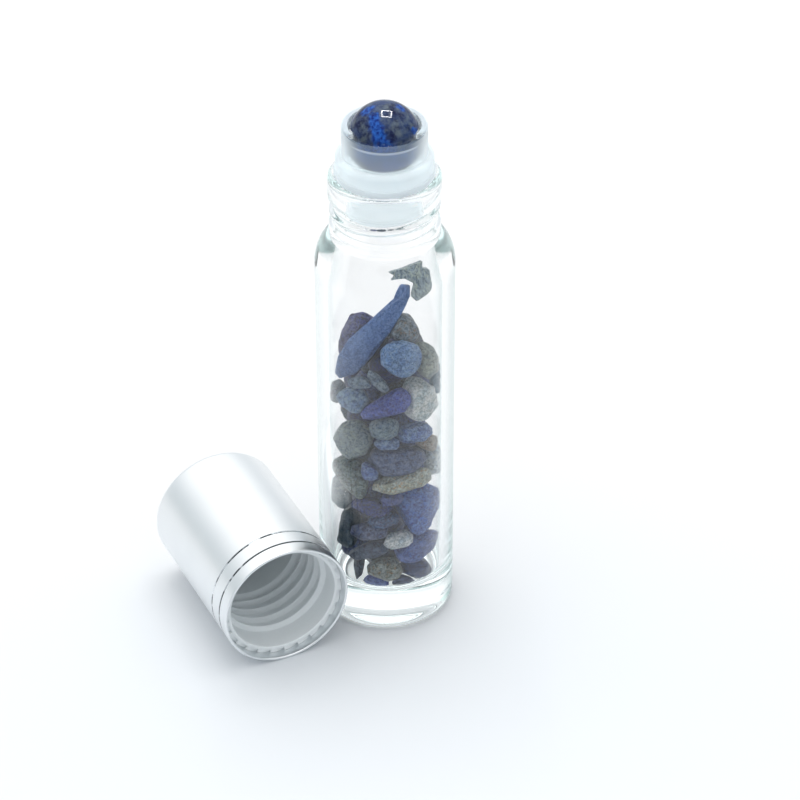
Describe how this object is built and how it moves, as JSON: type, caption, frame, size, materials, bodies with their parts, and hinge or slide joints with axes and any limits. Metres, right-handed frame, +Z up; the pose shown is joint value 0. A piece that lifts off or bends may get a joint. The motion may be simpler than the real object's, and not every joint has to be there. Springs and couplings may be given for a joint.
{
  "type": "roll-on bottle",
  "caption": "Small cylindrical clear glass roll-on bottle filled with blue and beige stone chips, with a dark blue stone roller ball; its silver screw cap with white liner lies beside it.",
  "frame": {"origin": "centre of the ring that the bottle stands on, at table level", "axes": "+Z up along the bottle's axis, -Y towards the viewer of the picture, +X to the viewer's right; the cap lies on its side at the left"},
  "size_m": [0.0445, 0.0325, 0.0849],
  "materials": {
    "clear_glass": "clear, smooth, faint green edge",
    "milky_plastic": "natural, translucent, smooth",
    "polished_stone": "polished dark blue stone with grey mottles",
    "satin_aluminium": "satin, anodised silver",
    "white_plastic": "matte white",
    "stone_mixed": "tumbled stone, mixed colours",
    "stone_dark": "tumbled stone, satin",
    "stone_beige": "tumbled stone, satin",
    "stone_blue": "tumbled stone, satin",
    "stone_grey": "tumbled stone, satin",
    "stone_pale": "tumbled stone, satin",
    "stone_purple": "tumbled stone, satin",
    "stone_soft_blue": "tumbled stone, satin",
    "stone_amber": "tumbled stone, satin",
    "stone_speckled": "tumbled stone, satin",
    "stone_slate": "tumbled stone, satin"
  },
  "bodies": {
    "bottle": {"glass_bottle": "clear_glass", "roller_housing": "milky_plastic", "chip_tail_shard": "stone_beige", "chip_dark_splinter": "stone_dark", "chip_base_beige": "stone_beige", "chip_base_blue": "stone_blue", "chip_base_grey": "stone_grey", "chip_base_sliver": "stone_blue", "chip_indigo_low": "stone_blue", "chip_pale_bright": "stone_pale", "chip_grey_bar": "stone_grey", "chip_purple_grey": "stone_purple", "chip_dark_left": "stone_dark", "chip_blue_oval": "stone_soft_blue", "chip_gloss_blue": "stone_blue", "chip_gloss_small": "stone_blue", "chip_blue_triangle": "stone_blue", "chip_olive_tall": "stone_beige", "chip_grey_left": "stone_grey", "chip_beige_slab": "stone_beige", "chip_purple_block": "stone_purple", "chip_light_corner": "stone_soft_blue", "chip_beige_right": "stone_beige", "chip_amber": "stone_amber", "chip_grey_lump": "stone_grey", "chip_blue_middle": "stone_soft_blue", "chip_grey_middle": "stone_grey", "chip_blue_small": "stone_soft_blue", "chip_pale_teardrop": "stone_pale", "chip_indigo_wedge": "stone_blue", "chip_blue_round": "stone_soft_blue", "chip_small_left": "stone_grey", "chip_pale_oval": "stone_pale", "chip_pale_finger": "stone_pale", "chip_speckled_round": "stone_speckled", "chip_teal_edge": "stone_soft_blue", "chip_beige_upper": "stone_beige", "chip_beige_behind": "stone_beige", "chip_purple_top": "stone_purple", "chip_slate_blade": "stone_slate", "back_chips_1": "stone_mixed", "back_chips_2": "stone_mixed", "back_chips_3": "stone_mixed", "back_chips_4": "stone_mixed", "back_chips_5": "stone_mixed", "back_chips_6": "stone_mixed", "back_chips_7": "stone_mixed"},
    "ball": {"roller_ball": "polished_stone"},
    "cap": {"cap_shell": "satin_aluminium", "cap_liner": "white_plastic"}
  },
  "joints": [
    {"name": "ball_roll", "type": "hinge", "parent": "bottle", "child": "ball", "pos_m": [0, 0, 0.07994], "axis": [1, 0, 0], "continuous": true},
    {"name": "cap_lift", "type": "slide", "parent": "bottle", "child": "cap", "axis": [0, 0, 1], "range_m": [0, 0.1]}
  ]
}
